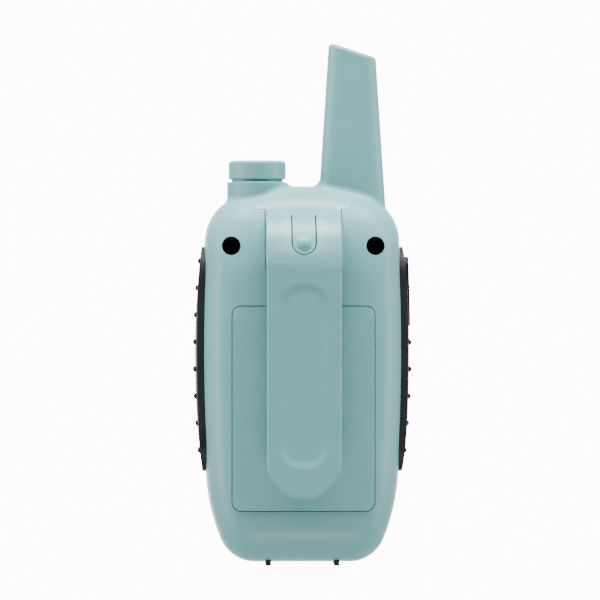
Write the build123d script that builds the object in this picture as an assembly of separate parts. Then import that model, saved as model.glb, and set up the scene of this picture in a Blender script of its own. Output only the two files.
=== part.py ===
from build123d import *
from math import asin, cos, degrees, hypot, radians, sin, sqrt
import os

# Handheld two-way radio with a moulded stub antenna, a volume knob, rubber side grips,
# a sprung talk button, five front keys, a lift-out battery door and a slide-off belt clip.
# Frame: +Z up, the front faces -Y, the back with the clip faces +Y, millimetres.
# Origin: on the surface the radio stands on, in the plane where the two shells meet.

# ---- case
FOOT_HEIGHT = 0.8                  # rubber feet under the bottom
REAR_DEPTH = 15.0                  # seam plane to the flat of the back
FRONT_DEPTH = 13.5                 # seam plane to the flat of the front
REAR_CORE = 0.66                   # flat of the back, as a share of the outline
FRONT_CORE = 0.72
CORE_Z = 40.0                      # the point that the outline shrinks towards
WALL = 1.8
ROUNDING = 2.4                     # superellipse exponent of the rounded case sides
SEAM_DEPTH = 0.4                   # shadow line where the shells meet
SEAM_WIDTH = 0.3
# One half of the outline from the top centre clockwise: (radius, turn in degrees)
OUTLINE_ARCS = ((53.2, 18.4), (12.3, 68.3), (490.0, 7.2), (50.8, 18.7), (9.55, 67.4))
SECTION_ANGLES = (18, 34, 48, 60, 71, 81, 90)

# ---- antenna, moulded in one with the shells
ANTENNA_X = -12.9
ANTENNA_ROOT_Z = 84.0
ANTENNA_END_Z = 137.0
ANTENNA_HALF_WIDTH = 6.3           # at ANTENNA_GAUGE_Z
ANTENNA_HALF_DEPTH = 4.6
ANTENNA_GAUGE_Z = 129.7
ANTENNA_TAPER = 0.0643             # half width gained per mm downwards
ANTENNA_DEPTH_TAPER = 0.02
ANTENNA_CORNER = 3.4
ANTENNA_PEAK = (-7.7, 134.9)       # x and z of the high side of the slanted top
ANTENNA_SLOPE = 18.3               # degrees
ANTENNA_FILLET = 2.5

# ---- volume knob and its collar
KNOB_X = 11.6
COLLAR_RADIUS = 7.8
COLLAR_TOP = 99.0
COLLAR_BORE = 6.95
COLLAR_FLOOR = 96.0
COLLAR_FILLET = 2.0
KNOB_RADIUS = 7.4
KNOB_BOTTOM = 99.7
KNOB_TOP = 104.5
KNOB_EDGE = 0.85
KNOB_NECK = 6.6
KNOB_NECK_BOTTOM = 96.6
SHAFT_RADIUS = 3.0
SHAFT_BOTTOM = 87.2
SHAFT_TOP = 102.5
SHAFT_FIT = 0.04                   # radial clearance of the shaft in its bushing and knob

# ---- battery door and compartment
DOOR_HALF_WIDTH = 18.2
DOOR_BOTTOM = 14.5
DOOR_TOP = 66.8
DOOR_CORNER = 2.2
DOOR_PROUD = 0.35
DOOR_THICKNESS = 1.7
DOOR_GAP = 0.22
HOOK_PLACES = (-12.0, 12.0)        # two hooks on the door's bottom edge
HOOK_HALF_WIDTH = 3.6
HOOK_DEPTH = 10.9                  # y of the hooks' inner face
LATCH_HALF_WIDTH = 5.0
TRAY_HALF_WIDTH = 16.6             # inside of the compartment
TRAY_BOTTOM = 16.4
TRAY_TOP = 65.4
TRAY_FLOOR = 1.5                   # y of the floor under the cells
TRAY_WALL = 1.2
CELL_RADIUS = 5.25                 # three AAA cells
CELL_LENGTH = 44.5
CELL_PITCH = 10.9
CELL_Y = 6.95

# ---- belt clip
CLIP_HALF_WIDTH = 9.7              # block at the top
ARM_HALF_WIDTH = 9.5
ARM_BOTTOM = 17.7
ARM_TOP = 77.0                     # where the arm bends away from the block
ARM_OUTER = 22.5
ARM_THICKNESS = 2.0
ARM_RIDGE = 3.6                    # how far the ridge at the tip reaches inwards
BLOCK_RADIUS = 16.1                # arc of the block's outer face
BLOCK_TOP = 92.6
CLIP_FLOOR = 9.6                   # y of the block's hidden face
T_HALF_WIDTH = 12.25
T_BOTTOM = 91.9
T_TOP = 98.0
NECK_BOTTOM = 90.5                 # solid part between the block and the T head
RAIL_WIDTH = 1.2
RAIL_DEPTH = 1.3
SLOT_GAP = 0.2
BLOCK_WALL = 1.8                   # the block is hollow behind its outer face
BLOCK_CENTRE = (6.4, 76.5)         # y and z of the centre of the block's outer arc
TONGUE_HALF_WIDTH = 2.95
TONGUE_SLIT = 0.3
TONGUE_ROOT = 90.2                 # z where the tongue joins the block
BUMP_RADIUS = 2.3
BUMP_HEIGHT = 0.9
BUMP_Z = 83.1                      # also the centre of the tongue's round end
DISH_HALF_WIDTH = 6.7
DISH_ENDS = (25.3, 72.9)
DISH_DEPTH = 0.35
EDGE = 0.5                         # rounding of the clip's edges

# ---- side grips and talk button
GRIP_BOTTOM = 24.2
GRIP_TOP = 82.3
GRIP_HALF_DEPTH = 7.0
GRIP_SEAT = 0.7                    # how deep the grips sit in the shells
GRIP_BULGE = 1.7                   # how far they stand out of the outline at the middle
GRIP_ARC = 238.0
GRIP_MIDDLE = (27.7, 54.0)         # widest point of the grip's outer arc, x and z
RIB_PITCH = 6.99
RIB_FIRST_Z = 29.7
RIB_RADIUS = 0.77
RIB_HEIGHT = 0.6
RIB_LENGTH = 9.6
RIGHT_RIBS = 8
LEFT_RIBS = 5
PTT_BOTTOM = 61.8
PTT_TOP = 79.7
PTT_HALF_DEPTH = 4.7
PTT_GAP = 0.25
PTT_TIP = -21.9                    # x of the plunger's end, which travels 1 mm

# ---- front face
SCREEN_Z = 66.4
SCREEN_HALF = (13.5, 8.0)
LENS_MARGIN = 1.5
LENS_THICKNESS = 1.2
KEY_Z = 46.6
KEY_REACH = 9.4                    # middle key to the two side keys
KEY_STEP = 6.1                     # middle key to the keys above and below
KEY_PROUD = 0.7
KEY_GAP = 0.25
SPEAKER_Z = 24.0
SPEAKER_RADIUS = 11.5
GRILLE_RADIUS = 10.5
GRILLE_PITCH = 3.0
GRILLE_SLOT = 1.5
MIC_PLACE = (14.5, 31.5)

# ---- feet
FOOT_X = 8.8
FOOT_SPAN = (-5.5, 6.5)            # from front to back

# ---- board and screws
BOARD_FRONT = -8.6
BOARD_REAR = -7.2
WELL_PLACES = ((-18.5, 82.4), (18.5, 82.4))
WELL_RADIUS = 2.4
WELL_FLOOR = 3.0
BOARD_SCREWS = ((-15.0, 11.6), (15.0, 11.6), (-15.2, 54.6), (15.2, 54.6))


def save(name, shape):
    shape.label = name
    export_step(shape, f"parts/{name}.step")


def block(x, y, z):
    """A box from three (low, high) pairs."""
    size = [high - low for low, high in (x, y, z)]
    middle = [(high + low) / 2 for low, high in (x, y, z)]
    return Pos(*middle) * Box(*size)


def rod_y(x, z, radius, low, high):
    """A cylinder along Y."""
    return Pos(x, (low + high) / 2, z) * Rot(90, 0, 0) * Cylinder(radius, high - low)


def rod_z(x, y, radius, low, high):
    return Pos(x, y, (low + high) / 2) * Cylinder(radius, high - low)


def prism_y(sketch, low, high):
    """Extrude a sketch, drawn as seen from the front with X right and Z up, along Y."""
    return extrude(Plane((0, high, 0), x_dir=(1, 0, 0), z_dir=(0, -1, 0)) * sketch, high - low)


def prism_x(sketch, low, high):
    """Extrude a sketch, drawn with Y right and Z up, along X."""
    return extrude(Plane((low, 0, 0), x_dir=(0, 1, 0), z_dir=(1, 0, 0)) * sketch, high - low)


def plate_y(half_width, z_low, z_high, corner, y_low, y_high):
    """A plate with rounded corners that faces along Y."""
    sketch = Pos(0, (z_low + z_high) / 2) * RectangleRounded(2 * half_width, z_high - z_low, corner)
    return prism_y(sketch, y_low, y_high)


# ---------------------------------------------------------------- case body

def outline_top():
    heading = 0.0
    height = 0.0
    for radius, turn in OUTLINE_ARCS:
        height += radius * (cos(radians(heading)) - cos(radians(heading + turn)))
        heading += turn
    return FOOT_HEIGHT + height


CASE_TOP = outline_top()


def half_outline(inset):
    """Points along the tangent arcs of one half: start, then middle and end of each arc."""
    x, z, heading = 0.0, CASE_TOP - inset, 0.0
    points = [(x, z)]
    for radius, turn in OUTLINE_ARCS:
        radius -= inset
        centre = (x - radius * sin(radians(heading)), z - radius * cos(radians(heading)))
        for angle in (heading + turn / 2, heading + turn):
            points.append((centre[0] + radius * sin(radians(angle)),
                           centre[1] + radius * cos(radians(angle))))
        heading += turn
        x, z = points[-1]
    return points


def outline_wire(y, scale, inset):
    """The closed outline at depth y, shrunk towards the core point."""
    right = [Vector(scale * x, y, CORE_Z + scale * (z - CORE_Z)) for x, z in half_outline(inset)]
    left = [Vector(-point.X, point.Y, point.Z) for point in right]
    edges = [Edge.make_three_point_arc(*right[i:i + 3]) for i in range(0, len(right) - 1, 2)]
    edges.append(Edge.make_line(right[-1], left[-1]))
    left.reverse()
    edges += [Edge.make_three_point_arc(*left[i:i + 3]) for i in range(0, len(left) - 1, 2)]
    return Wire(edges)


def case_rows(depth, core):
    """Depth and scale of each section of one side, along a quarter superellipse."""
    rows = []
    for angle in SECTION_ANGLES:
        shrink = cos(radians(angle)) ** (2 / ROUNDING) if angle < 90 else 0.0
        rows.append((depth * sin(radians(angle)) ** (2 / ROUNDING), core + (1 - core) * shrink))
    return rows


def case_body(inset):
    """The pillow-shaped case, offset inwards by inset."""
    front = [(-y, scale) for y, scale in case_rows(FRONT_DEPTH - inset, FRONT_CORE)]
    front.reverse()
    rear = case_rows(REAR_DEPTH - inset, REAR_CORE)
    return Solid.make_loft([outline_wire(y, scale, inset) for y, scale in front + [(0.0, 1.0)] + rear])


def antenna_body(inset):
    """The tapered blade of the antenna with its slanted top."""
    sections = []
    for z in (ANTENNA_ROOT_Z, ANTENNA_END_Z):
        half_width = ANTENNA_HALF_WIDTH + (ANTENNA_GAUGE_Z - z) * ANTENNA_TAPER - inset
        half_depth = ANTENNA_HALF_DEPTH + (ANTENNA_GAUGE_Z - z) * ANTENNA_DEPTH_TAPER - inset
        section = RectangleRounded(2 * half_width, 2 * half_depth, ANTENNA_CORNER - inset)
        sections.append(Plane.XY.offset(z) * Pos(ANTENNA_X, 0) * section)
    slope = radians(ANTENNA_SLOPE)
    top = Plane((ANTENNA_PEAK[0], 0, ANTENNA_PEAK[1] - inset),
                x_dir=(cos(slope), 0, sin(slope)), z_dir=(-sin(slope), 0, cos(slope)))
    return split(loft(sections), top, keep=Keep.BOTTOM)


def case_outside():
    """Case, antenna and collar as one outer form with soft blends between them."""
    antenna = antenna_body(0.0)
    antenna = fillet(antenna.faces().sort_by(Axis.Z)[-1].edges(), 1.0)
    body = OUTER + antenna
    body = fillet(new_edges(OUTER, antenna, combined=body), ANTENNA_FILLET)
    collar = rod_z(KNOB_X, 0, COLLAR_RADIUS, ANTENNA_ROOT_Z, COLLAR_TOP)
    collar = fillet(collar.faces().sort_by(Axis.Z)[-1].edges(), 0.3)
    whole = body + collar
    return fillet(new_edges(body, collar, combined=whole), COLLAR_FILLET)


OUTER = case_body(0.0)
INNER = case_body(WALL)
GRIP_FLOOR = case_body(GRIP_SEAT)


# ---------------------------------------------------------------- shells

def seam_groove():
    """The shallow groove around the case where the two shells meet."""
    half = SEAM_WIDTH / 2
    core = extrude(Face(outline_wire(half, 1.0, SEAM_DEPTH)), SEAM_WIDTH, dir=(0, -1, 0))
    slab = block((-40, 40), (-half, half), (-5, 150))
    collar = rod_z(KNOB_X, 0, COLLAR_RADIUS - SEAM_DEPTH, ANTENNA_ROOT_Z, COLLAR_TOP - SEAM_DEPTH)
    return slab - core - antenna_body(SEAM_DEPTH) - collar


def knob_openings():
    """The round pocket in the collar and the hole for the shaft below it."""
    pocket = rod_z(KNOB_X, 0, COLLAR_BORE, COLLAR_FLOOR, COLLAR_TOP + 1)
    return pocket + rod_z(KNOB_X, 0, SHAFT_RADIUS + 0.3, ANTENNA_ROOT_Z, COLLAR_FLOOR + 0.5)


def stadium_x(z_low, z_high, half_depth):
    """A slot shape in the YZ plane, long in Z."""
    length = z_high - z_low
    return Pos(0, (z_low + z_high) / 2) * Rot(0, 0, 90) * SlotOverall(length, 2 * half_depth)


def grip_prism(side, margin):
    """The prism that bounds a side grip, grown by margin."""
    sketch = stadium_x(GRIP_BOTTOM - margin, GRIP_TOP + margin, GRIP_HALF_DEPTH + margin)
    low, high = (10.0, 32.0) if side > 0 else (-32.0, -10.0)
    return prism_x(sketch, low, high)


def talk_prism(margin, low, high):
    """The prism of the talk button on the left side."""
    middle = (PTT_BOTTOM + PTT_TOP) / 2
    sketch = RectangleRounded(2 * (PTT_HALF_DEPTH + margin), PTT_TOP - PTT_BOTTOM + 2 * margin, 2.4 + margin)
    return prism_x(Pos(0, middle) * sketch, low, high)


def side_recesses():
    right = grip_prism(1, 0.05) - GRIP_FLOOR
    left = grip_prism(-1, 0.05) - GRIP_FLOOR
    return right + left + talk_prism(PTT_GAP, -32.0, -21.0)


def door_prism(margin, y_low, y_high):
    return plate_y(DOOR_HALF_WIDTH + margin, DOOR_BOTTOM - margin, DOOR_TOP + margin,
                   DOOR_CORNER + margin, y_low, y_high)


def battery_tray():
    """The open box that holds the cells, with the ledge that the door rests on."""
    ledge = case_body(WALL - 0.1) - case_body(WALL + 1.4)
    ledge = ledge & plate_y(TRAY_HALF_WIDTH + 3.6, TRAY_BOTTOM - 4.0, TRAY_TOP + 3.4, 3.0, 5.0, 16.0)
    outside = plate_y(TRAY_HALF_WIDTH + TRAY_WALL, TRAY_BOTTOM - TRAY_WALL, TRAY_TOP + TRAY_WALL, 1.2,
                      TRAY_FLOOR - TRAY_WALL, 16.0)
    tray = ledge + (outside & case_body(WALL + 0.2)) - tray_space()
    for x in HOOK_PLACES:
        span = (x - HOOK_HALF_WIDTH - 0.3, x + HOOK_HALF_WIDTH + 0.3)
        tray = tray - block(span, (HOOK_DEPTH - 0.5, 16.0), (DOOR_BOTTOM - 2.2, TRAY_BOTTOM + 0.1))
    span = (-LATCH_HALF_WIDTH - 0.3, LATCH_HALF_WIDTH + 0.3)
    return tray - block(span, (HOOK_DEPTH - 0.2, 16.0), (TRAY_TOP - 0.2, DOOR_TOP + 0.2))


def tray_space():
    return block((-TRAY_HALF_WIDTH, TRAY_HALF_WIDTH), (TRAY_FLOOR, 20.0), (TRAY_BOTTOM, TRAY_TOP))


def clip_slot():
    """The pocket and T slot that the belt clip slides into from above."""
    floor = CLIP_FLOOR - SLOT_GAP
    pocket = block((-CLIP_HALF_WIDTH - SLOT_GAP, CLIP_HALF_WIDTH + SLOT_GAP), (floor, 30),
                   (ARM_TOP - 0.2, 110))
    reach = CLIP_HALF_WIDTH + RAIL_WIDTH + SLOT_GAP
    grooves = block((-reach, reach), (floor, CLIP_FLOOR + RAIL_DEPTH + SLOT_GAP), (ARM_TOP - 0.2, 110))
    head = block((-T_HALF_WIDTH - 0.12, T_HALF_WIDTH + 0.12), (CLIP_FLOOR - 0.1, 30),
                 (T_BOTTOM - 0.12, 110))
    return pocket + grooves + head


def clip_housing():
    """The walls of the clip's slot, inside the rear shell."""
    walls = block((-T_HALF_WIDTH - 1.6, T_HALF_WIDTH + 1.6), (CLIP_FLOOR - 1.8, 16), (ARM_TOP - 1.8, 99))
    return walls & case_body(0.3)


def screw_tubes():
    """Tubes from the two screw wells in the back down to their shoulders."""
    tubes = [rod_y(x, z, WELL_RADIUS + 0.8, 0.0, 16.0) for x, z in WELL_PLACES]
    return (tubes[0] + tubes[1]) & case_body(0.5)


def screw_wells():
    wells = []
    for x, z in WELL_PLACES:
        wells.append(rod_y(x, z, WELL_RADIUS, WELL_FLOOR, 20.0))
        wells.append(rod_y(x, z, 1.15, -1.0, WELL_FLOOR + 1.0))
    return wells


def rear_shell(outside):
    shell = outside - INNER - antenna_body(WALL)
    shell = shell & block((-40, 40), (0, 30), (-5, 150))
    shell = shell - door_prism(DOOR_GAP, 8.0, 20.0)
    shell = shell + battery_tray() + clip_housing() + screw_tubes()
    for cut in [clip_slot(), seam_groove(), knob_openings(), side_recesses()] + screw_wells():
        shell = shell - cut
    return shell


def front_shell(outside):
    shell = outside - INNER - antenna_body(WALL)
    shell = shell & block((-40, 40), (-30, 0), (-5, 150))
    for x, z in WELL_PLACES:
        shell = shell + (rod_y(x, z, 2.6, -14.0, 0.0) & case_body(0.9))
    for x, z in BOARD_SCREWS:
        shell = shell + (rod_y(x, z, 2.0, -14.0, BOARD_FRONT) & case_body(0.9))
    shell = shell + speaker_seat()
    for x, z in WELL_PLACES:
        shell = shell - rod_y(x, z, 1.05, -9.0, 1.0)
    for x, z in BOARD_SCREWS:
        shell = shell - rod_y(x, z, 0.85, -12.0, 1.0)
    for cut in [seam_groove(), knob_openings(), side_recesses(), screen_window(), microphone_hole()]:
        shell = shell - cut
    for cut in grille_slots() + key_holes():
        shell = shell - cut
    return shell


# ---------------------------------------------------------------- front face

def screen_window():
    """The seat of the lens and the smaller window through the wall behind it."""
    half_x, half_z = SCREEN_HALF
    margin = LENS_MARGIN + 0.05
    seat = plate_y(half_x + margin, SCREEN_Z - half_z - margin, SCREEN_Z + half_z + margin, 2.5,
                   -20.0, -FRONT_DEPTH + LENS_THICKNESS)
    hole = plate_y(half_x, SCREEN_Z - half_z, SCREEN_Z + half_z, 1.5, -20.0, -8.0)
    return seat + hole


def display_lens():
    half_x, half_z = SCREEN_HALF
    lens = plate_y(half_x + LENS_MARGIN, SCREEN_Z - half_z - LENS_MARGIN, SCREEN_Z + half_z + LENS_MARGIN,
                   2.45, -FRONT_DEPTH - 0.1, -FRONT_DEPTH + LENS_THICKNESS - 0.02)
    return fillet(lens.faces().sort_by(Axis.Y)[0].edges(), 0.3)


def microphone_hole():
    return rod_y(MIC_PLACE[0], MIC_PLACE[1], 0.7, -20.0, -5.0)


def grille_slots():
    """Sound slots that fill a circle in front of the speaker."""
    slots = []
    for step in range(-3, 4):
        offset = step * GRILLE_PITCH
        half = sqrt(GRILLE_RADIUS ** 2 - offset ** 2)
        sketch = Pos(0, SPEAKER_Z + offset) * SlotOverall(2 * half, GRILLE_SLOT)
        slots.append(prism_y(sketch, -20.0, -9.0))
    return slots


def speaker_seat():
    """The ring that holds the speaker behind its slots."""
    ring = rod_y(0, SPEAKER_Z, SPEAKER_RADIUS + 1.3, -12.6, -10.0)
    ring = ring - rod_y(0, SPEAKER_Z, SPEAKER_RADIUS + 0.1, -13.0, -9.0)
    return ring & case_body(0.9)


def key_shapes():
    """Name, centre and outline of each front key."""
    bar = (7.4, 4.6, 2.1)
    return (
        ("channel_up_key", (0.0, KEY_Z + KEY_STEP), bar),
        ("channel_down_key", (0.0, KEY_Z - KEY_STEP), bar),
        ("menu_key", (-KEY_REACH, KEY_Z), (5.8, 5.8, 2.85)),
        ("call_key", (KEY_REACH, KEY_Z), (5.8, 5.8, 2.85)),
        ("monitor_key", (0.0, KEY_Z), (5.0, 5.0, 2.45)),
    )


def key_prism(place, shape, margin, low, high):
    width, height, corner = shape
    sketch = RectangleRounded(width + 2 * margin, height + 2 * margin, corner + margin)
    return prism_y(Pos(*place) * sketch, low, high)


def key_holes():
    return [key_prism(place, shape, KEY_GAP, -20.0, -9.0) for _, place, shape in key_shapes()]


def front_key(place, shape):
    """A hard key cap with a flange behind the shell that keeps it in."""
    inner = -FRONT_DEPTH + WALL
    cap = key_prism(place, shape, 0.0, -FRONT_DEPTH - KEY_PROUD, inner + 0.5)
    cap = fillet(cap.faces().sort_by(Axis.Y)[0].edges(), 0.5)
    return cap + key_prism(place, shape, 0.55, inner + 0.1, inner + 0.7)


def keypad_membrane():
    """The silicone mat behind the keys, with a low dome under each."""
    mat = plate_y(12.9, KEY_Z - 9.2, KEY_Z + 8.9, 2.0, BOARD_FRONT - 0.7, BOARD_FRONT - 0.02)
    for _, place, _ in key_shapes():
        mat = mat + rod_y(place[0], place[1], 1.9, BOARD_FRONT - 1.3, BOARD_FRONT - 0.5)
    return mat


# ---------------------------------------------------------------- grips and talk button

def grip_surface():
    """A large cylinder along Y whose wall is the grips' outer arc, for the right side."""
    x, z = GRIP_MIDDLE
    return rod_y(x - GRIP_ARC, z, GRIP_ARC, -20.0, 20.0)


def rib_x(z):
    """Half width of the grip's outer arc at height z."""
    x, middle = GRIP_MIDDLE
    return x - GRIP_ARC + sqrt(GRIP_ARC ** 2 - (z - middle) ** 2)


def grip_rib(z):
    centre = rib_x(z) + RIB_HEIGHT - RIB_RADIUS
    rib = Pos(centre, 0, z) * Rot(90, 0, 0) * Cylinder(RIB_RADIUS, RIB_LENGTH - 2 * RIB_RADIUS)
    return fillet(rib.edges().filter_by(GeomType.CIRCLE), RIB_RADIUS * 0.9)


def right_form():
    """The bare rubber grip of the right side."""
    return (grip_prism(1, 0.0) & case_body(-GRIP_BULGE) & grip_surface()) - case_body(GRIP_SEAT - 0.05)


def right_grip(form):
    grip = form
    for index in range(RIGHT_RIBS):
        grip = grip + grip_rib(RIB_FIRST_Z + index * RIB_PITCH)
    return grip


def left_grip(form):
    """The left grip has a window for the talk button above its ribs."""
    grip = form
    for index in range(LEFT_RIBS):
        grip = grip + grip_rib(RIB_FIRST_Z + index * RIB_PITCH)
    return grip.mirror(Plane.YZ) - talk_prism(PTT_GAP, -32.0, -10.0)


def talk_button():
    """The sprung talk button: a rubber cap, a flange inside the case and a plunger."""
    cap = talk_prism(0.0, -32.0, -10.0) & case_body(-GRIP_BULGE - 0.35)
    flange = talk_prism(0.9, -32.0, -10.0) & case_body(WALL + 0.25) & block((-32, 0), (-20, 20), (0, PTT_TOP - 1.3))
    button = (cap + flange) - case_body(WALL + 1.1)
    return button + block((-24.0, PTT_TIP), (-2.0, 2.0), (68.5, 73.0))


# ---------------------------------------------------------------- volume knob

def volume_knob():
    """A smooth cap with a narrower neck that turns in the collar."""
    cap = rod_z(KNOB_X, 0, KNOB_RADIUS, KNOB_BOTTOM, KNOB_TOP)
    cap = fillet(cap.faces().sort_by(Axis.Z)[-1].edges(), KNOB_EDGE)
    cap = fillet(cap.faces().sort_by(Axis.Z)[0].edges(), 0.3)
    knob = cap + rod_z(KNOB_X, 0, KNOB_NECK, KNOB_NECK_BOTTOM, KNOB_BOTTOM + 0.5)
    return knob - rod_z(KNOB_X, 0, SHAFT_RADIUS + SHAFT_FIT, KNOB_NECK_BOTTOM - 1, SHAFT_TOP + 0.1)


def volume_shaft():
    shaft = rod_z(KNOB_X, 0, SHAFT_RADIUS, SHAFT_BOTTOM, SHAFT_TOP)
    return chamfer(shaft.faces().sort_by(Axis.Z)[-1].edges(), 0.3)


def volume_control():
    """The rotary switch under the knob, with its threaded bushing."""
    body = block((KNOB_X - 5.2, KNOB_X + 5.2), (BOARD_REAR + 0.05, 4.4), (86.3, 91.2))
    body = body + rod_z(KNOB_X, 0, 3.9, 91.0, 92.6)
    legs = block((KNOB_X - 4.0, KNOB_X + 2.8), (BOARD_REAR + 0.05, BOARD_REAR + 1.6), (83.0, 86.5))
    return body + legs - rod_z(KNOB_X, 0, SHAFT_RADIUS + SHAFT_FIT, SHAFT_BOTTOM - 0.2, 95.0)


# ---------------------------------------------------------------- belt clip

def disc_prism(radius, half_width):
    """A cylinder along X about the centre of the block's outer arc."""
    y, z = BLOCK_CENTRE
    return Pos(0, y, z) * Rot(0, 90, 0) * Cylinder(radius, 2 * half_width)


def above_root(shift):
    """All that lies beyond the radial plane through the tongue's root."""
    y, z = BLOCK_CENTRE
    angle = degrees(asin((TONGUE_ROOT - z) / BLOCK_RADIUS))
    return Pos(0, y, z) * Rot(angle, 0, 0) * Pos(0, 15, 10 + shift) * Box(40, 30, 20)


def block_surface(z):
    """y of the block's outer face at height z."""
    return BLOCK_CENTRE[0] + sqrt(BLOCK_RADIUS ** 2 - (z - BLOCK_CENTRE[1]) ** 2)


def tongue_prism(half_width):
    """The U outline of the tongue or of its hole, cut square to the tongue's swing about its root."""
    end_z = BUMP_Z - TONGUE_HALF_WIDTH
    rise = TONGUE_ROOT - end_z
    reach = block_surface(end_z) - block_surface(TONGUE_ROOT)
    tilt_cos, tilt_sin = rise / hypot(rise, reach), reach / hypot(rise, reach)
    plane = Plane((0, block_surface(BUMP_Z), BUMP_Z), x_dir=(1, 0, 0), z_dir=(0, -tilt_cos, -tilt_sin))
    length = 12.0
    sketch = Pos(0, length / 2) * Rectangle(2 * half_width, length) + Circle(half_width)
    return extrude(plane * sketch, 8.0, both=True)


def clip_head():
    """The hollow block with its T head, its rails and the slit around the tongue."""
    knuckle_z = ARM_TOP + ARM_THICKNESS / 2 + SLOT_GAP
    bounds = block((-CLIP_HALF_WIDTH, CLIP_HALF_WIDTH), (CLIP_FLOOR, 30), (ARM_TOP, BLOCK_TOP))
    outer = disc_prism(BLOCK_RADIUS, CLIP_HALF_WIDTH) & bounds
    sides = outer.edges().filter_by(GeomType.CIRCLE)
    body = fillet(sides, EDGE)
    hollow = disc_prism(BLOCK_RADIUS - BLOCK_WALL, CLIP_HALF_WIDTH - 1.6)
    body = body - (hollow & block((-20, 20), (0, 30), (ARM_TOP - 1, 99)))
    body = body - block((-20, 20), (ARM_OUTER - ARM_THICKNESS - 0.25, 30), (0, knuckle_z))
    body = body - (tongue_prism(TONGUE_HALF_WIDTH + TONGUE_SLIT) - above_root(0.0))
    neck = block((-CLIP_HALF_WIDTH, CLIP_HALF_WIDTH), (CLIP_FLOOR, 30), (NECK_BOTTOM, T_TOP))
    wings = block((-T_HALF_WIDTH, T_HALF_WIDTH), (CLIP_FLOOR, 30), (T_BOTTOM, T_TOP))
    head = (neck + wings) & OUTER
    for side in (-1, 1):
        x = sorted((side * (CLIP_HALF_WIDTH - 1.0), side * (CLIP_HALF_WIDTH + RAIL_WIDTH)))
        body = body + block(x, (CLIP_FLOOR, CLIP_FLOOR + RAIL_DEPTH), (ARM_TOP + 0.4, NECK_BOTTOM))
    return body + head


def release_tongue():
    """The sprung tongue, with the round bump that the thumb presses."""
    y, z = BLOCK_CENTRE
    ring = disc_prism(BLOCK_RADIUS, TONGUE_HALF_WIDTH) - disc_prism(BLOCK_RADIUS - BLOCK_WALL, 10)
    tongue = (ring & tongue_prism(TONGUE_HALF_WIDTH)) - above_root(-0.3)
    angle = asin((BUMP_Z - z) / BLOCK_RADIUS)
    ball = (BUMP_RADIUS ** 2 + BUMP_HEIGHT ** 2) / (2 * BUMP_HEIGHT)
    reach = BLOCK_RADIUS + BUMP_HEIGHT - ball
    bump = Pos(0, y + reach * cos(angle), z + reach * sin(angle)) * Sphere(ball)
    return tongue + (bump - disc_prism(BLOCK_RADIUS - 0.5, 10))


def clip_arm():
    """The springy arm: round end, rolled top, shallow dish and a ridge behind the tip."""
    inner = ARM_OUTER - ARM_THICKNESS
    end_z = ARM_BOTTOM + ARM_HALF_WIDTH
    sketch = Pos(0, (end_z + ARM_TOP) / 2) * Rectangle(2 * ARM_HALF_WIDTH, ARM_TOP - end_z)
    plate = prism_y(sketch + Pos(0, end_z) * Circle(ARM_HALF_WIDTH), inner, ARM_OUTER)
    rims = [edge for face in (plate.faces().sort_by(Axis.Y)[0], plate.faces().sort_by(Axis.Y)[-1])
            for edge in face.edges() if edge.center().Z < ARM_TOP - 0.1]
    plate = fillet(rims, EDGE)
    roll = Pos(0, inner + 1.0, ARM_TOP) * Rot(0, 90, 0) * Cylinder(1.0, 2 * ARM_HALF_WIDTH)
    low, high = DISH_ENDS
    dish = Pos(0, (low + high) / 2) * Rot(0, 0, 90) * SlotOverall(high - low, 2 * DISH_HALF_WIDTH)
    plate = plate + roll - prism_y(dish, ARM_OUTER - DISH_DEPTH, 30.0)
    ridge = Pos(0, inner - ARM_RIDGE + 1.8, 22.3) * Rot(0, 90, 0) * Cylinder(1.8, 11.0)
    return plate + ridge + block((-5.5, 5.5), (inner - ARM_RIDGE + 1.8, inner + 0.5), (20.5, 24.1))


# ---------------------------------------------------------------- battery door and cells

def battery_door():
    """The door follows the curve of the back, with two hooks below and a latch tab above."""
    door = door_prism(0.0, 8.0, 20.0) & case_body(-DOOR_PROUD)
    door = door - case_body(DOOR_THICKNESS - DOOR_PROUD)
    inner = REAR_DEPTH + DOOR_PROUD - DOOR_THICKNESS
    for x in HOOK_PLACES:
        span = (x - HOOK_HALF_WIDTH, x + HOOK_HALF_WIDTH)
        door = door + block(span, (HOOK_DEPTH, inner + 0.2), (DOOR_BOTTOM + 0.3, DOOR_BOTTOM + 1.9))
        door = door + block(span, (HOOK_DEPTH, HOOK_DEPTH + 1.2), (DOOR_BOTTOM - 1.4, DOOR_BOTTOM + 0.6))
    latch = block((-LATCH_HALF_WIDTH, LATCH_HALF_WIDTH), (HOOK_DEPTH + 0.3, inner + 0.2),
                  (DOOR_TOP - 1.7, DOOR_TOP - 0.5))
    return door + latch


def battery_cell(index):
    """An AAA cell: a can with a flat negative end and a raised positive tip."""
    x = (index - 1) * CELL_PITCH
    bottom = TRAY_BOTTOM + 3.0
    can = rod_z(x, CELL_Y, CELL_RADIUS, bottom, bottom + CELL_LENGTH - 0.8)
    can = fillet(can.edges().filter_by(GeomType.CIRCLE), 0.4)
    return can + rod_z(x, CELL_Y, 1.8, bottom + CELL_LENGTH - 1.2, bottom + CELL_LENGTH)


def battery_contacts():
    """Sheet-metal plates at both ends of each cell, the upper ones with a raised nub."""
    plates = []
    for index in range(3):
        x = (index - 1) * CELL_PITCH
        lower = block((x - 4.6, x + 4.6), (2.4, 10.2), (TRAY_BOTTOM, TRAY_BOTTOM + 0.35))
        upper = block((x - 4.6, x + 4.6), (2.4, 10.2), (TRAY_TOP - 0.35, TRAY_TOP))
        nub = rod_z(x, CELL_Y, 2.2, TRAY_TOP - 1.4, TRAY_TOP - 0.2)
        plates += [lower, upper + nub]
    return Compound(children=plates)


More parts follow.
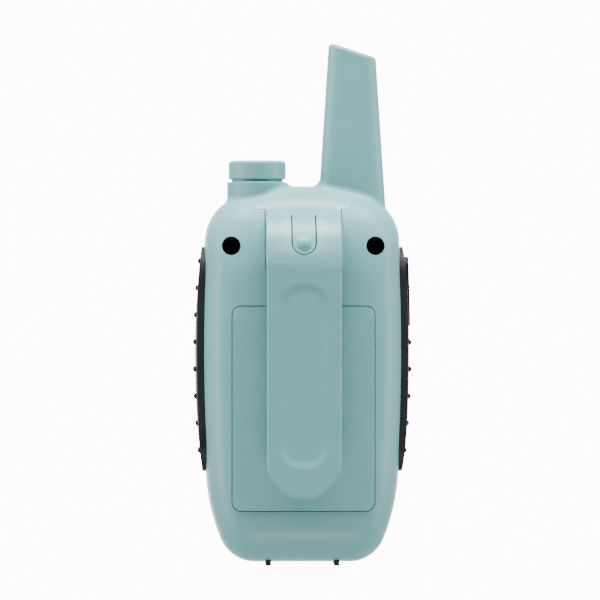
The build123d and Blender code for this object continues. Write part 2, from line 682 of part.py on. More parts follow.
def coil(radius, wire, pitch, height, x, y, z):
    """A round-wire coil that rises along Z from the point."""
    path = Helix(pitch=pitch, height=height, radius=radius)
    section = Plane(path @ 0, z_dir=path % 0) * Circle(wire)
    return Pos(x, y, z) * sweep(section, path=path)


def battery_springs():
    springs = [coil(3.2, 0.25, 0.85, 2.0, (index - 1) * CELL_PITCH, CELL_Y, TRAY_BOTTOM + 0.62)
               for index in range(3)]
    return Compound(children=springs)


# ---------------------------------------------------------------- inside the case

def circuit_board():
    board = plate_y(17.5, 9.2, 79.0, 2.5, BOARD_FRONT, BOARD_REAR)
    board = board + block((-6.0, 15.4), (BOARD_FRONT, BOARD_REAR), (78.0, 84.4))
    board = board - rod_y(0, SPEAKER_Z, SPEAKER_RADIUS + 0.8, -20, 0)
    for x, z in BOARD_SCREWS:
        board = board - rod_y(x, z, 0.9, -20, 0)
    return board


def rf_shield():
    """A sheet-metal can over the radio circuit, open towards the board."""
    can = block((-11, 11), (BOARD_REAR + 0.02, -4.9), (58, 76))
    return can - block((-10.6, 10.6), (BOARD_REAR - 1, -5.3), (58.4, 75.6))


def lcd_panel():
    return block((-15, 15), (-11.6, -10.1), (SCREEN_Z - 9.4, SCREEN_Z + 9.4))


def lcd_backlight():
    return block((-14.4, 14.4), (-10.05, BOARD_FRONT - 0.05), (SCREEN_Z - 8.8, SCREEN_Z + 8.8))


def cone_y(x, z, front_radius, rear_radius, low, high):
    """A cone frustum along Y, its front at low and its rear at high."""
    return Pos(x, (low + high) / 2, z) * Rot(-90, 0, 0) * Cone(front_radius, rear_radius, high - low)


def speaker_basket():
    """A pressed frame: rim, tapering wall and back plate."""
    rim = rod_y(0, SPEAKER_Z, SPEAKER_RADIUS, -11.4, -10.6) - rod_y(0, SPEAKER_Z, 9.9, -12, -10)
    wall = cone_y(0, SPEAKER_Z, 10.6, 6.8, -10.8, -6.6) - cone_y(0, SPEAKER_Z, 10.0, 6.2, -10.81, -6.6)
    back = rod_y(0, SPEAKER_Z, 6.8, -6.7, -6.1)
    return rim + wall + back


def speaker_cone():
    """The paper cone and its dust cap, one thin skin."""
    skin = cone_y(0, SPEAKER_Z, 9.6, 3.2, -11.2, -8.6) - cone_y(0, SPEAKER_Z, 9.2, 2.8, -11.21, -8.9)
    voice_coil = rod_y(0, SPEAKER_Z, 3.2, -8.8, -7.0) - rod_y(0, SPEAKER_Z, 2.8, -8.6, -6.0)
    return skin + voice_coil


def speaker_magnet():
    magnet = rod_y(0, SPEAKER_Z, 6.2, -6.08, -2.6)
    return chamfer(magnet.edges().filter_by(GeomType.CIRCLE), 0.4)


def speaker_cloth():
    return rod_y(0, SPEAKER_Z, SPEAKER_RADIUS - 0.1, -11.66, -11.44)


def microphone():
    x, z = MIC_PLACE
    return rod_y(x, z, 2.8, -11.5, -9.4) + rod_y(x, z, 2.0, -9.5, BOARD_FRONT - 0.02)


def antenna_coil():
    """The loading coil inside the antenna, on a ferrule at its foot."""
    radius = 2.1
    ferrule = rod_z(ANTENNA_X, 0, 2.6, 86.4, 88.6)
    return ferrule + coil(radius, 0.3, 3.0, 36.0, ANTENNA_X, 0, 88.2)


def ptt_switch():
    """The side-pressed switch behind the talk button, with its actuator."""
    body = block((-20.0, -17.4), (BOARD_REAR + 0.02, 2.6), (67.6, 74.0))
    return body + block((PTT_TIP + 1.2, -19.9), (-1.4, 1.4), (69.4, 72.2))


def pan_screw(x, z, shank_radius, shank_end, head_radius, seat, top):
    """A cross-recessed screw along Y with its head towards the back."""
    screw = rod_y(x, z, head_radius, seat, top)
    screw = fillet(screw.faces().sort_by(Axis.Y)[-1].edges(), 0.3)
    reach = head_radius * 0.62
    recess = block((x - reach, x + reach), (top - 0.8, top + 1), (z - 0.28, z + 0.28))
    recess = recess + block((x - 0.28, x + 0.28), (top - 0.8, top + 1), (z - reach, z + reach))
    return screw - recess + rod_y(x, z, shank_radius, shank_end, seat + 0.2)


def case_screws():
    return Compound(children=[pan_screw(x, z, 1.0, -8.4, 2.1, WELL_FLOOR, WELL_FLOOR + 1.6)
                              for x, z in WELL_PLACES])


def board_screws():
    return Compound(children=[pan_screw(x, z, 0.8, -11.4, 1.7, BOARD_REAR, BOARD_REAR + 1.3)
                              for x, z in BOARD_SCREWS])


def base_feet():
    """Two short rubber ribs that run from front to back under the bottom."""
    feet = []
    for side in (-1, 1):
        x = side * FOOT_X
        rib = block((x - 0.7, x + 0.7), FOOT_SPAN, (0.0, 3.0))
        rib = fillet(rib.faces().sort_by(Axis.Z)[0].edges(), 0.25)
        feet.append(rib - OUTER)
    return Compound(children=feet)


if __name__ == "__main__":
    os.makedirs("parts", exist_ok=True)
    outside = case_outside()
    save("rear_shell", rear_shell(outside))
    save("front_shell", front_shell(outside))
    form = right_form()
    save("right_grip", right_grip(form))
    save("left_grip", left_grip(form))
    save("ptt_button", talk_button())
    save("volume_knob", volume_knob())
    save("volume_shaft", volume_shaft())
    save("volume_control", volume_control())
    save("belt_clip_head", clip_head())
    save("belt_clip_arm", clip_arm())
    save("clip_release_tongue", release_tongue())
    save("battery_door", battery_door())
    for index in range(3):
        save(f"battery_cell_{index + 1}", battery_cell(index))
    save("battery_contacts", battery_contacts())
    save("battery_springs", battery_springs())
    save("display_lens", display_lens())
    save("lcd_panel", lcd_panel())
    save("lcd_backlight", lcd_backlight())
    for name, place, shape in key_shapes():
        save(name, front_key(place, shape))
    save("keypad_membrane", keypad_membrane())
    save("circuit_board", circuit_board())
    save("rf_shield", rf_shield())
    save("speaker_basket", speaker_basket())
    save("speaker_magnet", speaker_magnet())
    save("speaker_cone", speaker_cone())
    save("speaker_cloth", speaker_cloth())
    save("microphone", microphone())
    save("antenna_coil", antenna_coil())
    save("ptt_switch", ptt_switch())
    save("case_screws", case_screws())
    save("board_screws", board_screws())
    save("base_feet", base_feet())
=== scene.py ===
import math

import bmesh
import bpy
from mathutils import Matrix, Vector
from mathutils.bvhtree import BVHTree


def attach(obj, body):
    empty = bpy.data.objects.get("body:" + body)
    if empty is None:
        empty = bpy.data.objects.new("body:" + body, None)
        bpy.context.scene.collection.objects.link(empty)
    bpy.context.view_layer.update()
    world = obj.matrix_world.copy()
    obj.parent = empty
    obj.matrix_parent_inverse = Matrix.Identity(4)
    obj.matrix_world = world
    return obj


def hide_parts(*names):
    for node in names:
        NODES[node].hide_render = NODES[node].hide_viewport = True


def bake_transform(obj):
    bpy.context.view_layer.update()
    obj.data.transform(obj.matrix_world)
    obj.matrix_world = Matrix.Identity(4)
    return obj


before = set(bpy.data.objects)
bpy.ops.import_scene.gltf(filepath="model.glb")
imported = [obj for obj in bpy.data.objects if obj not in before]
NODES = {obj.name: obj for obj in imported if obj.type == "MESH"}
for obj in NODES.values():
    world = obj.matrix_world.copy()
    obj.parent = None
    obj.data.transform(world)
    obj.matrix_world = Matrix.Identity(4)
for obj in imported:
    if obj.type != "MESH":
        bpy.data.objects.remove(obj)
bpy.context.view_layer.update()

MM = 0.001

# Outline of the belt clip in millimetres, as in the part
ARM_HALF, BLOCK_HALF = 9.5, 9.7
ARM_LOW = 17.7
ARM_OUTER, ARM_INNER = 22.5, 20.5
ARC_Y, ARC_Z, ARC_RADIUS = 6.4, 76.5, 16.1
BLOCK_WALL = 1.8
TONGUE_HALF, TONGUE_ROOT = 2.95, 90.2
TONGUE_SWING = (0.812, 0.583)           # Y and Z of the way that the tongue's free end swings
BUMP_Z = 83.1

# What only the visual meshes have, or have softer than the part, in millimetres
ARM_HIGH = 78.2                         # the arm's mesh laps onto the block
ARM_EDGE, TONGUE_EDGE = 0.55, 0.18      # radii of the rounded edges
NECK_Z, NECK_LENGTH = 76.4, 0.9         # where the arm widens to the block
RIDGE_Y, RIDGE_Z = 18.9, 22.3
RIDGE_DEEP, RIDGE_HIGH, RIDGE_HALF = 1.95, 1.78, 5.5
DISH_HALF, DISH_LOW, DISH_HIGH = 6.9, 25.1, 73.1
DISH_DEPTH, DISH_BLEND = 0.27, 2.3
LEAN_Z, LEAN_LENGTH = 87.0, 3.2         # where the tongue's sides turn square to the block
BUMP_RADIUS, BUMP_HEIGHT = 2.15, 0.88
BUMP_BLEND, BUMP_FOOT = 0.3, 0.15
LIP_HALF = 12.2
LIP_PROBE_Z = 110.0                     # over the T head, from where the lip's points are found

# How finely the meshes are divided, and the part of a strip's length that its round end takes up
EDGE_STEPS = 6
ARM_ACROSS, ARM_ALONG, ARM_END_SHARE = 44, 150, 0.24
TONGUE_ACROSS, TONGUE_ALONG, TONGUE_END_SHARE = 40, 64, 0.3
RIDGE_STEPS, RIDGE_TURNS = 16, 24
LIP_STATIONS = 97


# ---------------------------------------------------------------- materials

# Pointiness at which an edge starts to turn lighter and is lightest, and how much: some wear and a painted
# highlight in place of side light catching the rounded edges
WEAR_AND_HIGHLIGHT_START, WEAR_AND_HIGHLIGHT_END, WEAR_AND_HIGHLIGHT_SHARE = 0.57, 0.68, 0.7

# The values of a noise texture that are spread over a surface's whole range of colour or gloss
NOISE_LOW, NOISE_HIGH = 0.3, 0.7


def link(tree, source, output, target, entry):
    tree.links.new(source.outputs[output], target.inputs[entry])


def noise(tree, coordinates, scale, detail, rough=0.55):
    node = tree.nodes.new("ShaderNodeTexNoise")
    node.inputs["Scale"].default_value = scale
    node.inputs["Detail"].default_value = detail
    node.inputs["Roughness"].default_value = rough
    link(tree, coordinates, "Object", node, "Vector")
    return node


def spread(tree, source, low, high, output="Fac"):
    """Map a noise value, which stays near its middle, onto the range low to high."""
    node = tree.nodes.new("ShaderNodeMapRange")
    node.inputs["From Min"].default_value = NOISE_LOW
    node.inputs["From Max"].default_value = NOISE_HIGH
    node.inputs["To Min"].default_value = low
    node.inputs["To Max"].default_value = high
    link(tree, source, output, node, "Value")
    return node


def surface(name, dark, light, rough, grain, relief, metallic=0.0, patch=90.0, sheen=0.0, coat=0.0,
            ior=1.46, specular=0.5, edge_wear_and_highlight=None):
    """A moulded, woven or rolled surface: patchy colour, uneven gloss, fine relief, and edges made lighter
    by wear and a painted highlight.
    grain is the size of the relief in millimetres, relief its height in millimetres."""
    made = bpy.data.materials.new(name)
    made.use_nodes = True
    tree = made.node_tree
    shader = tree.nodes["Principled BSDF"]
    coordinates = tree.nodes.new("ShaderNodeTexCoord")
    broad = noise(tree, coordinates, patch, 4.0)
    fine = noise(tree, coordinates, 1.0 / (grain * MM), 2.0, 0.6)
    speck = noise(tree, coordinates, 0.37 / (grain * MM), 5.0, 0.65)
    tint = tree.nodes.new("ShaderNodeMix")
    tint.data_type = "RGBA"
    tint.inputs["A"].default_value = (*dark, 1.0)
    tint.inputs["B"].default_value = (*light, 1.0)
    blotch = tree.nodes.new("ShaderNodeMath")
    blotch.operation = "MULTIPLY_ADD"
    link(tree, spread(tree, speck, 0.0, 0.35), "Result", blotch, 0)
    blotch.inputs[1].default_value = 1.0
    link(tree, spread(tree, broad, 0.0, 0.65), "Result", blotch, 2)
    link(tree, blotch, "Value", tint, "Factor")
    colour = tint
    if edge_wear_and_highlight:
        # Painted highlight with some wear: convex edges mix towards a lighter colour by pointiness
        geometry = tree.nodes.new("ShaderNodeNewGeometry")
        rim = tree.nodes.new("ShaderNodeMapRange")
        rim.inputs["From Min"].default_value = WEAR_AND_HIGHLIGHT_START
        rim.inputs["From Max"].default_value = WEAR_AND_HIGHLIGHT_END
        rim.inputs["To Max"].default_value = WEAR_AND_HIGHLIGHT_SHARE
        link(tree, geometry, "Pointiness", rim, "Value")
        wear_and_highlight_mix = tree.nodes.new("ShaderNodeMix")
        wear_and_highlight_mix.data_type = "RGBA"
        wear_and_highlight_mix.inputs["B"].default_value = (*edge_wear_and_highlight, 1.0)
        link(tree, rim, "Result", wear_and_highlight_mix, "Factor")
        tree.links.new(tint.outputs["Result"], wear_and_highlight_mix.inputs["A"])
        colour = wear_and_highlight_mix
    tree.links.new(colour.outputs["Result"], shader.inputs["Base Color"])
    link(tree, spread(tree, speck, rough - 0.05, rough + 0.06), "Result", shader, "Roughness")
    bump = tree.nodes.new("ShaderNodeBump")
    bump.inputs["Strength"].default_value = 0.6
    bump.inputs["Distance"].default_value = relief * MM
    link(tree, fine, "Fac", bump, "Height")
    link(tree, bump, "Normal", shader, "Normal")
    shader.inputs["Metallic"].default_value = metallic
    shader.inputs["IOR"].default_value = ior
    shader.inputs["Specular IOR Level"].default_value = specular
    shader.inputs["Sheen Weight"].default_value = sheen
    shader.inputs["Sheen Roughness"].default_value = 0.5
    shader.inputs["Coat Weight"].default_value = coat
    shader.inputs["Coat Roughness"].default_value = 0.12
    return made


def add_weave(made, pitch, relief):
    """Cross two sets of threads over the fine relief of a cloth."""
    tree = made.node_tree
    coordinates = tree.nodes.new("ShaderNodeTexCoord")
    bump = next(n for n in tree.nodes if n.type == "BUMP")
    total = tree.nodes.new("ShaderNodeMath")
    total.operation = "ADD"
    for entry, direction in enumerate(("X", "Z")):
        wave = tree.nodes.new("ShaderNodeTexWave")
        wave.bands_direction = direction
        wave.inputs["Scale"].default_value = 0.314 / (pitch * MM)
        wave.inputs["Distortion"].default_value = 0.6
        link(tree, coordinates, "Object", wave, "Vector")
        link(tree, wave, "Fac", total, entry)
    bump.inputs["Distance"].default_value = relief * MM
    link(tree, total, "Value", bump, "Height")


def lens_glass(name):
    """A smoked window: dark and glossy, with faint wipe marks."""
    return surface(name, (0.012, 0.014, 0.016), (0.02, 0.023, 0.026), 0.12, 0.5, 0.002,
                   coat=0.6, ior=1.5, patch=200.0)


MINT_DARK = (0.175, 0.455, 0.465)
MINT_LIGHT = (0.196, 0.488, 0.498)
# Lighter mint for convex edges: some wear, mostly a painted highlight
MINT_WEAR_AND_HIGHLIGHT = (0.42, 0.75, 0.75)

LOOKS = {
    "case_plastic": surface("case_plastic", MINT_DARK, MINT_LIGHT, 0.42, 0.16, 0.014, edge_wear_and_highlight=MINT_WEAR_AND_HIGHLIGHT),
    # The clip's edges get a still lighter mint: a painted highlight
    "clip_plastic": surface("clip_plastic", MINT_DARK, MINT_LIGHT, 0.32, 0.13, 0.008,
                            edge_wear_and_highlight=(0.55, 0.88, 0.88)),
    "grip_rubber": surface("grip_rubber", (0.0065, 0.005, 0.009), (0.011, 0.0085, 0.014), 0.6, 0.22, 0.03,
                           specular=0.35, patch=160.0, edge_wear_and_highlight=(0.022, 0.019, 0.026)),
    "foot_rubber": surface("foot_rubber", (0.012, 0.012, 0.012), (0.022, 0.021, 0.021), 0.75, 0.25, 0.03,
                           sheen=0.1),
    "key_plastic": surface("key_plastic", (0.045, 0.05, 0.052), (0.06, 0.066, 0.07), 0.4, 0.15, 0.01,
                           edge_wear_and_highlight=(0.12, 0.125, 0.13)),
    "screen_lens": lens_glass("screen_lens"),
    "screen_glass": surface("screen_glass", (0.16, 0.19, 0.13), (0.19, 0.22, 0.155), 0.2, 0.3, 0.003,
                            coat=0.3),
    "white_plastic": surface("white_plastic", (0.72, 0.72, 0.69), (0.8, 0.8, 0.77), 0.45, 0.2, 0.01),
    "silicone": surface("silicone", (0.3, 0.3, 0.29), (0.36, 0.36, 0.345), 0.6, 0.3, 0.01, sheen=0.1),
    "board_laminate": surface("board_laminate", (0.008, 0.075, 0.03), (0.014, 0.11, 0.045), 0.32, 0.4,
                              0.012, coat=0.25, patch=260.0),
    "tinned_steel": surface("tinned_steel", (0.5, 0.5, 0.49), (0.66, 0.66, 0.65), 0.34, 0.35, 0.006,
                            metallic=1.0, patch=300.0),
    "magnet": surface("magnet", (0.2, 0.2, 0.21), (0.3, 0.3, 0.31), 0.3, 0.3, 0.006, metallic=1.0),
    "paper": surface("paper", (0.035, 0.033, 0.03), (0.07, 0.066, 0.06), 0.85, 0.3, 0.04, patch=400.0),
    "cloth": surface("cloth", (0.012, 0.012, 0.013), (0.025, 0.025, 0.027), 0.9, 0.2, 0.05, sheen=0.3),
    "copper": surface("copper", (0.62, 0.24, 0.1), (0.78, 0.36, 0.17), 0.28, 0.2, 0.004, metallic=1.0),
    "black_plastic": surface("black_plastic", (0.014, 0.014, 0.015), (0.024, 0.024, 0.026), 0.48, 0.18,
                             0.012, edge_wear_and_highlight=(0.06, 0.06, 0.06)),
    "cell_sleeve": surface("cell_sleeve", (0.02, 0.05, 0.11), (0.03, 0.07, 0.15), 0.25, 0.4, 0.005,
                           coat=0.5),
    "screw_steel": surface("screw_steel", (0.01, 0.01, 0.011), (0.02, 0.02, 0.021), 0.45, 0.15, 0.008,
                           metallic=1.0, edge_wear_and_highlight=(0.08, 0.08, 0.08)),
}
add_weave(LOOKS["cloth"], 0.32, 0.06)

SLOTS = {
    "rear_shell": "case_plastic", "front_shell": "case_plastic", "battery_door": "case_plastic",
    "volume_knob": "case_plastic", "belt_clip_head": "clip_plastic", "belt_clip_arm": "clip_plastic",
    "clip_release_tongue": "clip_plastic", "right_grip": "grip_rubber", "left_grip": "grip_rubber",
    "ptt_button": "grip_rubber", "base_feet": "foot_rubber", "channel_up_key": "key_plastic",
    "channel_down_key": "key_plastic", "menu_key": "key_plastic", "call_key": "key_plastic",
    "monitor_key": "key_plastic", "display_lens": "screen_lens", "lcd_panel": "screen_glass",
    "lcd_backlight": "white_plastic", "keypad_membrane": "silicone", "circuit_board": "board_laminate",
    "rf_shield": "tinned_steel", "speaker_basket": "tinned_steel", "speaker_magnet": "magnet",
    "speaker_cone": "paper", "speaker_cloth": "cloth", "microphone": "tinned_steel",
    "antenna_coil": "copper", "volume_control": "black_plastic", "volume_shaft": "tinned_steel",
    "ptt_switch": "black_plastic", "battery_cell_1": "cell_sleeve", "battery_cell_2": "cell_sleeve",
    "battery_cell_3": "cell_sleeve", "battery_contacts": "tinned_steel", "battery_springs": "tinned_steel",
    "case_screws": "screw_steel", "board_screws": "screw_steel",
}

# Width of the rounding that a CAD node's sharp edges get, in millimetres
ROUNDED = {
    "battery_door": 0.34, "right_grip": 0.25, "left_grip": 0.25, "ptt_button": 0.5, "base_feet": 0.2,
}


def dress(obj, slot_name):
    """Give a piece the one material of its slot."""
    obj.data.materials.clear()
    obj.data.materials.append(LOOKS[slot_name])


def soften(obj, width, angle=35.0):
    """Round the sharp edges of a moulded piece a little, once its split corners are one again."""
    weld = obj.modifiers.new("one_skin", "WELD")
    weld.merge_threshold = 0.002 * MM
    bevel = obj.modifiers.new("edge_rounding", "BEVEL")
    bevel.width = width * MM
    bevel.segments = 3
    bevel.limit_method = "ANGLE"
    bevel.angle_limit = math.radians(angle)
    bevel.harden_normals = True


# ---------------------------------------------------------------- mesh building

def new_mesh(name, points, faces, slot_name, sharp=40.0, outward=(0, 1, 0.3), lead=500):
    """A piece from points in millimetres. Its first faces, lead of them, look outward."""
    mesh = bpy.data.meshes.new(name)
    mesh.from_pydata([(x * MM, y * MM, z * MM) for x, y, z in points], [], faces)
    skin = bmesh.new()
    skin.from_mesh(mesh)
    bmesh.ops.remove_doubles(skin, verts=skin.verts, dist=0.0005 * MM)
    bmesh.ops.recalc_face_normals(skin, faces=skin.faces)
    leading = [face for face in skin.faces if face.index < lead]
    if sum(face.normal.dot(Vector(outward)) * face.calc_area() for face in leading) < 0:
        bmesh.ops.reverse_faces(skin, faces=skin.faces)
    skin.to_mesh(mesh)
    skin.free()
    obj = bpy.data.objects.new(name, mesh)
    bpy.context.scene.collection.objects.link(obj)
    for face in mesh.polygons:
        face.use_smooth = True
    mesh.set_sharp_from_angle(angle=math.radians(sharp))
    dress(obj, slot_name)
    return obj


def ease(t):
    """Run from 0 to 1 with a soft start and end."""
    t = min(1.0, max(0.0, t))
    return t * t * (3 - 2 * t)


def sheet_faces(rows, columns, start=0, flip=False):
    """Quads of a grid of rows by columns of points."""
    faces = []
    for i in range(rows - 1):
        for j in range(columns - 1):
            a = start + i * columns + j
            quad = (a, a + 1, a + columns + 1, a + columns)
            faces.append(quad[::-1] if flip else quad)
    return faces


def arc_height(z):
    """Y of the clip's outer face, from its two-part profile: flat arm, then the block's arc."""
    if z <= ARC_Z:
        return ARM_OUTER
    return ARC_Y + math.sqrt(ARC_RADIUS ** 2 - (z - ARC_Z) ** 2)


def arm_half(z):
    """The arm is a little narrower than the block that it grows from."""
    return ARM_HALF + (BLOCK_HALF - ARM_HALF) * ease((z - NECK_Z) / NECK_LENGTH)


def dish(x, z):
    """Depth of the shallow dish: zero on its rim, soft all round."""
    middle = min(max(z, DISH_LOW + DISH_HALF), DISH_HIGH - DISH_HALF)
    reach = DISH_HALF - math.hypot(x, z - middle)
    return DISH_DEPTH * ease(reach / DISH_BLEND)


def round_end(u, t, radius):
    """Point of a half disc that is stretched from a half square: u across, t from its middle to its end."""
    return u * radius * math.sqrt(1 - t * t / 2), -t * radius * math.sqrt(1 - u * u / 2)


def arm_plan(u, v, inset):
    """Point of the arm's face: u from -1 to 1 across, v from 0 at the round end to 1 at the top."""
    end = ARM_LOW + ARM_HALF
    if v < ARM_END_SHARE:
        x, drop = round_end(u, 1.0 - v / ARM_END_SHARE, ARM_HALF - inset)
        return x, end + drop
    z = end + (ARM_HIGH - end) * (v - ARM_END_SHARE) / (1 - ARM_END_SHARE)
    return u * (arm_half(z) - inset), z


def sheet_points(place, across, along):
    """Points of a sheet, row by row, from its place at u, -1 to 1 across, and v, 0 to 1 along."""
    return [place(2 * j / across - 1, i / along) for i in range(along + 1) for j in range(across + 1)]


def quarter_round(edge):
    """Steps of a rounded edge, from a face's rim to its wall: how far in from the wall, how far down."""
    angles = [math.pi / 2 * k / EDGE_STEPS for k in range(EDGE_STEPS + 1)]
    return [(edge * (1 - math.sin(a)), edge * (1 - math.cos(a))) for a in angles]


def hang_wall(points, faces, across, along, levels, place):
    """Hang a wall, level by level, from the left, low and right sides of the sheet that comes first."""
    rim = [(i, 0) for i in range(along, 0, -1)]
    rim += [(0, j) for j in range(across)]
    rim += [(i, across) for i in range(along + 1)]
    ring = [i * (across + 1) + j for i, j in rim]
    for level in levels:
        fresh = [len(points) + k for k in range(len(rim))]
        points += [place(2 * j / across - 1, i / along, *level) for i, j in rim]
        faces += [(ring[k], ring[k + 1], fresh[k + 1], fresh[k]) for k in range(len(ring) - 1)]
        ring = fresh


def tip_ridge(start):
    """Points and faces of the ridge behind the arm's tip, a bar along X with soft ends. Its points are
    numbered from start."""
    points, faces = [], []
    for i in range(RIDGE_STEPS + 1):
        t = 2 * i / RIDGE_STEPS - 1
        shrink = math.sqrt(max(0.02, 1 - abs(t) ** 7))
        for j in range(RIDGE_TURNS):
            a = 2 * math.pi * j / RIDGE_TURNS
            deep = RIDGE_DEEP * math.copysign(abs(math.cos(a)) ** 0.8, math.cos(a))
            if deep < 0:
                deep *= shrink
            points.append((RIDGE_HALF * t, RIDGE_Y + deep, RIDGE_Z + RIDGE_HIGH * shrink * math.sin(a)))
    for i in range(RIDGE_STEPS):
        for j in range(RIDGE_TURNS):
            k = (j + 1) % RIDGE_TURNS
            near, far = start + i * RIDGE_TURNS, start + (i + 1) * RIDGE_TURNS
            faces.append((near + j, far + j, far + k, near + k))
    faces.append(tuple(start + j for j in range(RIDGE_TURNS)))
    faces.append(tuple(start + RIDGE_STEPS * RIDGE_TURNS + j for j in reversed(range(RIDGE_TURNS))))
    return points, faces


def belt_arm():
    """The springy arm with its shallow dish, rounded edges and the ridge behind its tip."""
    thickness = ARM_OUTER - ARM_INNER

    def wall(u, v, inset, down):
        x, z = arm_plan(u, v, inset)
        return x, arc_height(z) - down, z

    def front(u, v):
        x, y, z = wall(u, v, ARM_EDGE, 0.0)
        return x, y - dish(x, z), z

    def back(u, v):
        return wall(u, v, ARM_EDGE, thickness)

    points = sheet_points(front, ARM_ACROSS, ARM_ALONG)
    faces = sheet_faces(ARM_ALONG + 1, ARM_ACROSS + 1)
    edge = quarter_round(ARM_EDGE)
    levels = edge[1:] + [(inset, thickness - down) for inset, down in reversed(edge)]
    hang_wall(points, faces, ARM_ACROSS, ARM_ALONG, levels, wall)
    faces += sheet_faces(ARM_ALONG + 1, ARM_ACROSS + 1, len(points), flip=True)
    points += sheet_points(back, ARM_ACROSS, ARM_ALONG)
    ridge_points, ridge_faces = tip_ridge(len(points))
    arm = new_mesh("belt_arm", points + ridge_points, faces + ridge_faces, "clip_plastic")
    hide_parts("belt_clip_arm")
    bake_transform(arm)
    return arm


def towards_inside(y, z, direction, radius):
    """Length of the way from a point along a direction to the inner arc of the clip's block."""
    py, pz = y - ARC_Y, z - ARC_Z
    along = py * direction[0] + pz * direction[1]
    return -along - math.sqrt(max(0.0, along ** 2 - (py * py + pz * pz - radius ** 2)))


def tongue_plan(u, v, inset):
    """Point of the tongue's face: u from -1 to 1 across, v from 0 at the free end to 1 at the root."""
    half = TONGUE_HALF - inset
    if v < TONGUE_END_SHARE:
        x, drop = round_end(u, 1.0 - v / TONGUE_END_SHARE, half)
        return x, BUMP_Z + drop
    return u * half, BUMP_Z + (TONGUE_ROOT - BUMP_Z) * (v - TONGUE_END_SHARE) / (1 - TONGUE_END_SHARE)


def thumb_bump(x, z):
    """Height of the round bump over the tongue's arc."""
    swing = math.asin((z - ARC_Z) / ARC_RADIUS) - math.asin((BUMP_Z - ARC_Z) / ARC_RADIUS)
    reach = math.hypot(x, ARC_RADIUS * swing)
    ball = (BUMP_RADIUS ** 2 + BUMP_HEIGHT ** 2) / (2 * BUMP_HEIGHT)
    cap = math.sqrt(max(0.0, ball ** 2 - reach ** 2)) - (ball - BUMP_HEIGHT)
    return max(0.0, cap) * ease((BUMP_RADIUS - reach) / BUMP_BLEND + BUMP_FOOT)


def release_tongue():
    """The sprung tongue, which starts flush from the block and has a U-shaped free end."""
    def skin(u, v, inset, share):
        """A point share of the way through the tongue, 0 on its outer face."""
        x, z = tongue_plan(u, v, inset)
        y = arc_height(z)
        out = ((y - ARC_Y) / ARC_RADIUS, (z - ARC_Z) / ARC_RADIUS)
        lean = ease((z - LEAN_Z) / LEAN_LENGTH)
        way = [-(TONGUE_SWING[k] * (1 - lean) + out[k] * lean) for k in (0, 1)]
        size = math.hypot(*way)
        way = (way[0] / size, way[1] / size)
        depth = share * towards_inside(y, z, way, ARC_RADIUS - BLOCK_WALL)
        lift = thumb_bump(x, z) if share == 0 else 0.0
        return x, y + way[0] * depth + out[0] * lift, z + way[1] * depth + out[1] * lift

    def front(u, v):
        return skin(u, v, TONGUE_EDGE, 0.0)

    def back(u, v):
        return skin(u, v, 0.0, 1.0)

    points = sheet_points(front, TONGUE_ACROSS, TONGUE_ALONG)
    faces = sheet_faces(TONGUE_ALONG + 1, TONGUE_ACROSS + 1)
    levels = [(inset, down / BLOCK_WALL) for inset, down in quarter_round(TONGUE_EDGE)[1:]]
    levels += [(0.0, 0.5), (0.0, 1.0)]
    hang_wall(points, faces, TONGUE_ACROSS, TONGUE_ALONG, levels, skin)
    faces += sheet_faces(TONGUE_ALONG + 1, TONGUE_ACROSS + 1, len(points), flip=True)
    points += sheet_points(back, TONGUE_ACROSS, TONGUE_ALONG)
    tongue = new_mesh("release_tongue", points, faces, "clip_plastic", sharp=30.0)
    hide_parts("clip_release_tongue")
    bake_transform(tongue)
    return tongue


def head_lip():
    """A thin lip on the clip's T head that closes its gap to the dome of the case."""
    def tree_of(node):
        mesh = NODES[node].data
        return BVHTree.FromPolygons([v.co for v in mesh.vertices], [p.vertices for p in mesh.polygons])

    head, shell = tree_of("belt_clip_head"), tree_of("rear_shell")
    down = Vector((0, 0, -1))
    # What each row of points lies on, its Y and how far it stands over that
    rows = ((head, 10.0, -0.03), (head, 9.62, 0.004))
    rows += ((shell, 9.38, 0.006), (shell, 9.2, 0.005), (shell, 9.0, 0.001))
    points = []
    for i in range(LIP_STATIONS):
        x = LIP_HALF * (2 * i / (LIP_STATIONS - 1) - 1)
        for tree, y, lift in rows:
            hit = tree.ray_cast(Vector((x, y, LIP_PROBE_Z)) * MM, down)[0]
            points.append((x, y, hit.z / MM + lift))
    faces = sheet_faces(LIP_STATIONS, len(rows))
    lip = new_mesh("head_lip", points, faces, "clip_plastic")
    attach(lip, "clip")
    return lip


for node_name, slot_name in SLOTS.items():
    dress(NODES[node_name], slot_name)

belt_arm()
release_tongue()
head_lip()
for node_name, edge_width in ROUNDED.items():
    soften(NODES[node_name], edge_width)


# ---------------------------------------------------------------- stage, light and camera

# Strengths of the world's parts
BACKDROP, BEHIND, FILL, SKY = 12.0, 0.9, 0.05, 0.5

# Lens in millimetres, distance in metres, turn round the radio in degrees and the point looked at
CAMERA_LENS, CAMERA_DISTANCE, CAMERA_YAW = 289.5, 1.25, 1.6
CAMERA_AIM = (0.0005, 0.0, 0.0685)


def ramp(tree, source, output, start, end, low, high):
    """Run softly from low to high as the source's output runs from start to end."""
    node = tree.nodes.new("ShaderNodeMapRange")
    node.interpolation_type = "SMOOTHSTEP"
    for entry, value in (("From Min", start), ("From Max", end), ("To Min", low), ("To Max", high)):
        node.inputs[entry].default_value = value
    link(tree, source, output, node, "Value")
    return node


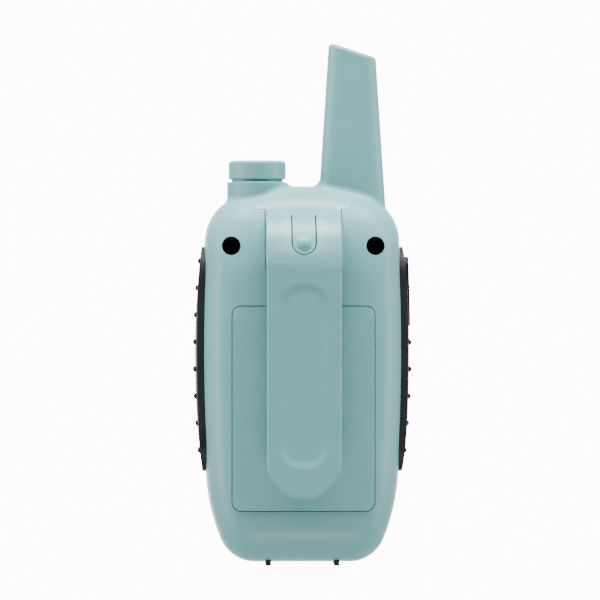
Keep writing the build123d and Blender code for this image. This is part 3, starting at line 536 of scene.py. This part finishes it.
def studio_world():
    """A dim studio with a bright white backdrop behind the radio and a soft glow from above."""
    world = bpy.data.worlds.new("studio")
    bpy.context.scene.world = world
    world.use_nodes = True
    tree = world.node_tree
    background = tree.nodes["Background"]
    coordinates = tree.nodes.new("ShaderNodeTexCoord")
    parts = tree.nodes.new("ShaderNodeSeparateXYZ")
    link(tree, coordinates, "Generated", parts, "Vector")
    backdrop = ramp(tree, parts, "Y", start=-0.97, end=-0.90, low=BACKDROP, high=0.0)
    behind = ramp(tree, parts, "Y", start=-0.85, end=0.1, low=BEHIND, high=FILL)
    above = ramp(tree, parts, "Z", start=0.1, end=0.95, low=0.0, high=SKY)
    total = tree.nodes.new("ShaderNodeMath")
    total.operation = "ADD"
    link(tree, backdrop, "Result", total, 0)
    link(tree, behind, "Result", total, 1)
    whole = tree.nodes.new("ShaderNodeMath")
    whole.operation = "ADD"
    link(tree, total, "Value", whole, 0)
    link(tree, above, "Result", whole, 1)
    link(tree, whole, "Value", background, "Strength")
    background.inputs["Color"].default_value = (1.0, 1.0, 1.0, 1.0)


def soft_box(name, place, target, size, power):
    """An area light of so many watts, from a place in metres towards a target."""
    light = bpy.data.lights.new(name, "AREA")
    light.shape = "RECTANGLE"
    light.size, light.size_y = size
    light.energy = power
    lamp = bpy.data.objects.new(name, light)
    lamp.location = place
    lamp.rotation_euler = (Vector(target) - Vector(place)).to_track_quat("-Z", "Y").to_euler()
    bpy.context.scene.collection.objects.link(lamp)


def camera():
    """A long lens that looks at the back of the radio."""
    data = bpy.data.cameras.new("camera")
    data.sensor_width = 36.0
    data.lens = CAMERA_LENS
    data.clip_end = 20.0
    lens = bpy.data.objects.new("camera", data)
    aim, yaw = Vector(CAMERA_AIM), math.radians(CAMERA_YAW)
    lens.location = aim + CAMERA_DISTANCE * Vector((math.sin(yaw), math.cos(yaw), 0.0))
    lens.rotation_euler = (aim - lens.location).to_track_quat("-Z", "Y").to_euler()
    bpy.context.scene.collection.objects.link(lens)
    bpy.context.scene.camera = lens


studio_world()
soft_box("key", place=(0.0, 0.16, 0.9), target=(0, 0, 0.09), size=(0.9, 0.3), power=25.0)
soft_box("left", place=(0.8, 0.10, 0.08), target=(0, 0, 0.07), size=(0.3, 0.7), power=4.8)
soft_box("right", place=(-0.8, 0.10, 0.08), target=(0, 0, 0.07), size=(0.3, 0.7), power=4.2)
soft_box("low", place=(0.0, 0.55, -0.6), target=(0, 0, 0.02), size=(0.8, 0.3), power=5.4)
camera()
